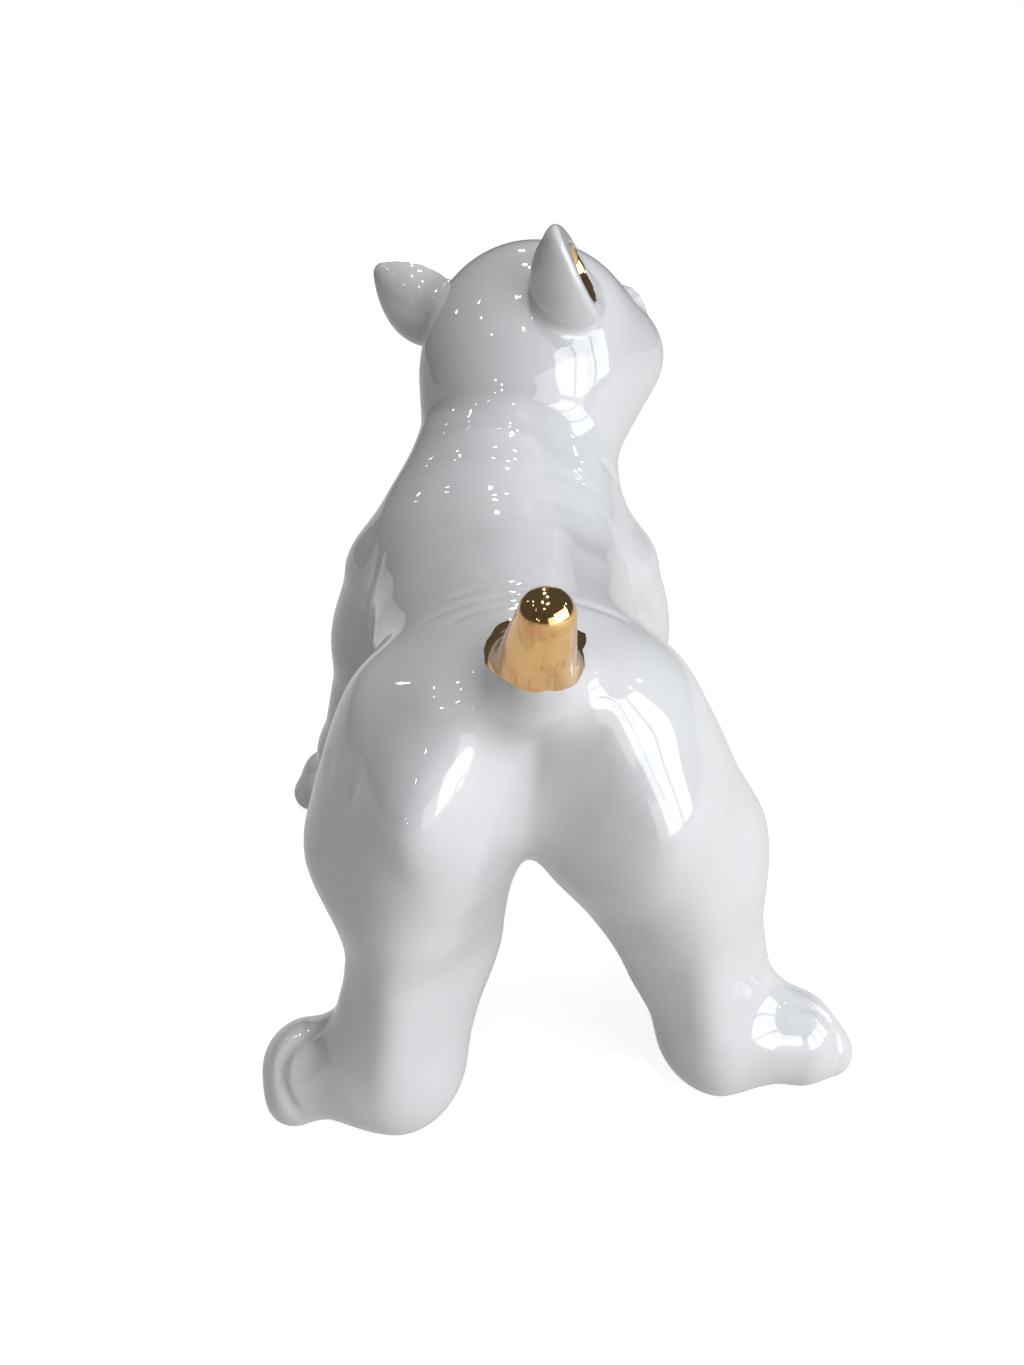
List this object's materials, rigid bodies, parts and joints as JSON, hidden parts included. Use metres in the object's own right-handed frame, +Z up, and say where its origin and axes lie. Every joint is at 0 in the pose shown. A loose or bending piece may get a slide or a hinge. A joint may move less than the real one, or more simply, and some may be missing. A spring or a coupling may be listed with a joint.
{
  "type": "puppy figurine",
  "caption": "Hollow slip-cast puppy ornament, white glaze with gold lustre on tail, nose, eyes and ear linings; stands with its hind feet apart and its head turned",
  "frame": {"origin": "on the floor, under the middle of the figurine's bounding box", "axes": "+Z up, +Y towards the front of the puppy, +X towards its right side"},
  "size_m": [0.2006, 0.228, 0.2512],
  "materials": {
    "white_glaze": "glossy white glaze",
    "gold_lustre": "glossy gold lustre over glaze"
  },
  "bodies": {
    "root": {"torso": "white_glaze", "head": "white_glaze", "left_ear": "white_glaze", "left_ear_lustre": "gold_lustre", "right_ear": "white_glaze", "right_ear_lustre": "gold_lustre", "left_foreleg": "white_glaze", "left_hind_leg": "white_glaze", "right_foreleg": "white_glaze", "right_hind_leg": "white_glaze", "tail": "gold_lustre", "nose": "gold_lustre", "left_eye": "gold_lustre", "right_eye": "gold_lustre"}
  },
  "joints": []
}
